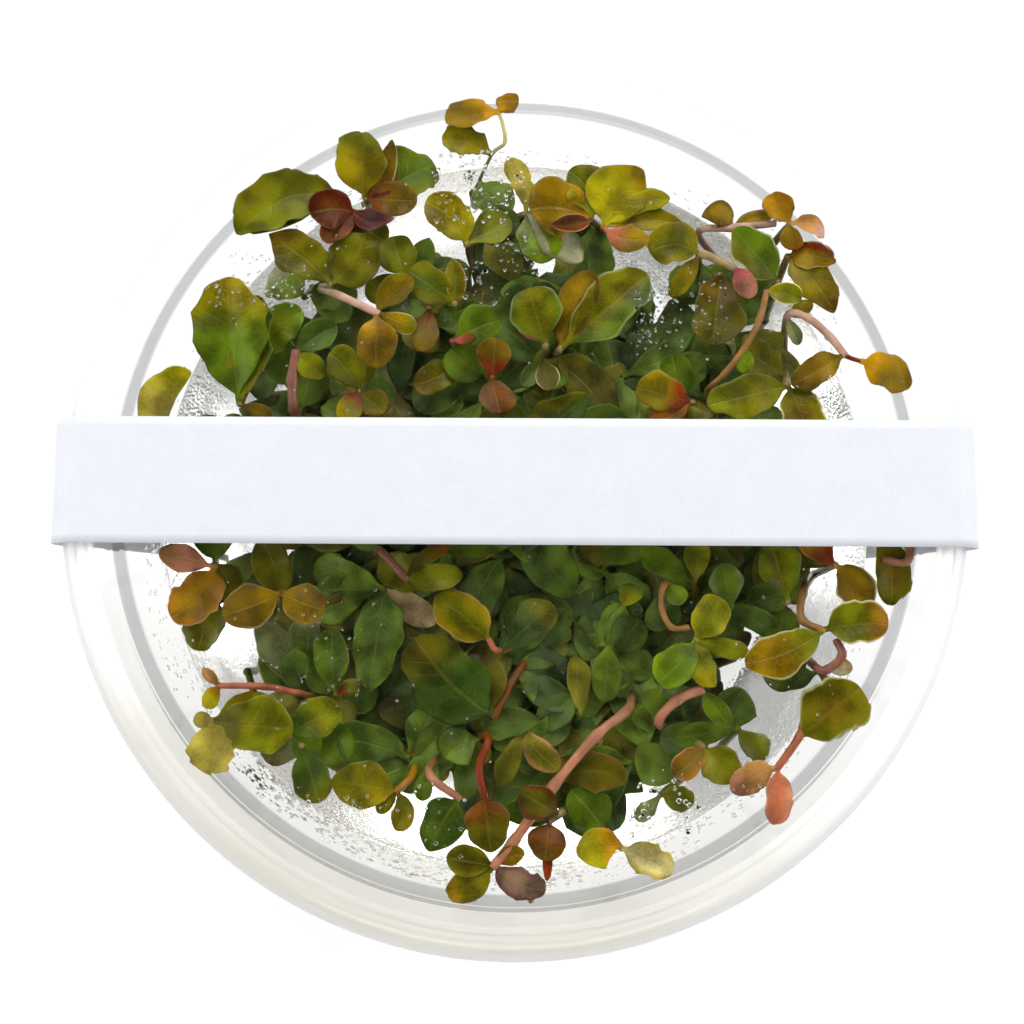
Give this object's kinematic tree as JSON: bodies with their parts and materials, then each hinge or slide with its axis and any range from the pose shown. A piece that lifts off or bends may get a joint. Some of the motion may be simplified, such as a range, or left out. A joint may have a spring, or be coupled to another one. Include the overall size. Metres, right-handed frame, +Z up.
{
  "type": "potted aquarium plant cup",
  "caption": "Closed clear round cup with a press-on lid, a bare paper strip over it, and clumps of small oval-leaved shoots rooted in clear gel.",
  "frame": {"origin": "middle of the cup's flat underside, on the surface that it stands on", "axes": "+Z up through the lid; X along the paper strip; -Y towards the lower edge of the picture"},
  "size_m": [0.1022, 0.101, 0.0426],
  "materials": {
    "cup_plastic": "clear colourless plastic, smooth",
    "lid_plastic": "clear plastic panel, milky raised rim",
    "paper": "bare white coated paper",
    "gel": "clear set nutrient gel, wet and faintly cloudy",
    "plant": "wet leaves from green and olive to amber and wine red, with pinkish stems"
  },
  "bodies": {
    "root": {"cup": "cup_plastic", "lid": "lid_plastic", "paper_strip": "paper", "gel": "gel", "clump_01": "plant", "clump_02": "plant", "clump_03": "plant", "clump_04": "plant", "clump_05": "plant", "clump_06": "plant", "clump_07": "plant", "clump_08": "plant", "clump_09": "plant", "clump_10": "plant", "clump_11": "plant", "clump_12": "plant", "clump_13": "plant", "clump_14": "plant", "clump_15": "plant", "clump_16": "plant", "clump_17": "plant", "clump_18": "plant", "clump_19": "plant", "clump_20": "plant", "clump_21": "plant", "clump_22": "plant", "clump_23": "plant", "clump_24": "plant", "clump_25": "plant", "clump_26": "plant", "clump_27": "plant", "clump_28": "plant", "clump_29": "plant", "clump_30": "plant", "clump_31": "plant", "clump_32": "plant", "clump_33": "plant", "clump_34": "plant", "clump_35": "plant", "clump_36": "plant", "clump_37": "plant", "clump_38": "plant", "clump_39": "plant", "clump_40": "plant", "clump_41": "plant", "clump_42": "plant", "clump_43": "plant", "clump_44": "plant"}
  },
  "joints": []
}
